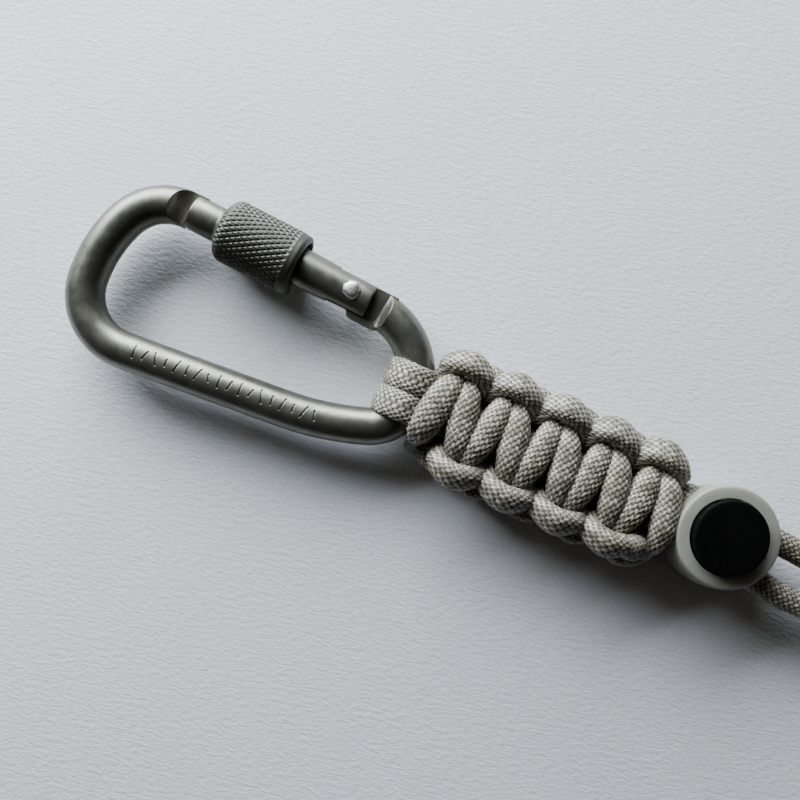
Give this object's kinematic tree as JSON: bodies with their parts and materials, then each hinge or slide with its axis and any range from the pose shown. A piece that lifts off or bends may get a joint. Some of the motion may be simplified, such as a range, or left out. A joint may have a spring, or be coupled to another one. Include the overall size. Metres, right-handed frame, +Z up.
{
  "type": "carabiner keyring",
  "caption": "Small screw-gate carabiner with a flat woven cord fob, a push-button cord lock and a finger loop.",
  "frame": {"origin": "bottom centre of the object's box as it lies flat, at rest", "axes": "+X along the carabiner's spine towards the cord loop, +Y from the spine towards the gate, +Z up from the table"},
  "size_m": [0.1728, 0.0412, 0.0122],
  "materials": {
    "frame_metal": "satin anodised",
    "bright_steel": "bright, lightly hammered",
    "ring_rubber": "matte",
    "cord_sheath": "braided nylon with a slight sheen",
    "cord_melt": "melted nylon",
    "lock_milky": "translucent milky",
    "lock_black": "fine matte"
  },
  "bodies": {
    "carabiner": {"carabiner_frame": "frame_metal"},
    "gate": {"gate_barrel": "frame_metal", "hinge_rivet": "bright_steel", "gate_spring": "bright_steel"},
    "plunger": {"gate_plunger": "bright_steel"},
    "sleeve_ring": {"sleeve_ring": "ring_rubber"},
    "sleeve": {"screw_sleeve": "frame_metal"},
    "fob": {"rod_wrap_upper": "cord_sheath", "rod_wrap_lower": "cord_sheath", "weave_cord_front": "cord_sheath", "weave_cord_back": "cord_sheath", "core_cord_left": "cord_sheath", "core_cord_right": "cord_sheath", "cord_bead_front": "cord_melt", "cord_bead_back": "cord_melt"},
    "lock": {"lock_body": "lock_milky", "lock_spring": "bright_steel"},
    "button": {"lock_button": "lock_black"},
    "loop": {"loop_end": "cord_sheath"}
  },
  "joints": [
    {"name": "gate_swing", "type": "hinge", "parent": "carabiner", "child": "gate", "pos_m": [-0.0435, 0.01266, 0.00515], "axis": [0, 0, 1], "range_deg": [0, 30]},
    {"name": "plunger_push", "type": "slide", "parent": "gate", "child": "plunger", "axis": [-0.9919, 0.1271, 0], "range_m": [0, 0.00043], "deforming": ["gate_spring"]},
    {"name": "sleeve_travel", "type": "slide", "parent": "gate", "child": "sleeve_ring", "axis": [-0.9919, 0.1271, 0], "range_m": [0, 0.00525]},
    {"name": "sleeve_turn", "type": "hinge", "parent": "sleeve_ring", "child": "sleeve", "pos_m": [-0.05937, 0.01469, 0.00515], "axis": [-0.9919, 0.1271, 0], "range_deg": [0, 1260.5]},
    {"name": "fob_swing", "type": "hinge", "parent": "carabiner", "child": "fob", "pos_m": [-0.0297, 0.00037, 0.00515], "axis": [0.0698, 0.9976, 0], "range_deg": [-75, 75]},
    {"name": "lock_slide", "type": "slide", "parent": "fob", "child": "lock", "axis": [0.9863, -0.165, 0], "range_m": [0, 0.024]},
    {"name": "button_press", "type": "slide", "parent": "lock", "child": "button", "axis": [0, 0, -1], "range_m": [0, 0.0013], "deforming": ["lock_spring"]},
    {"name": "loop_flex", "type": "hinge", "parent": "fob", "child": "loop", "pos_m": [0.05938, -0.00911, 0.00515], "axis": [0.165, 0.9863, 0], "range_deg": [-35, 35]}
  ],
  "couplings": [
    {"joint": "plunger_push", "follows": "gate_swing", "m_per_rad": 0.00080214},
    {"joint": "sleeve_turn", "follows": "sleeve_travel", "rad_per_m": 4188.8}
  ]
}
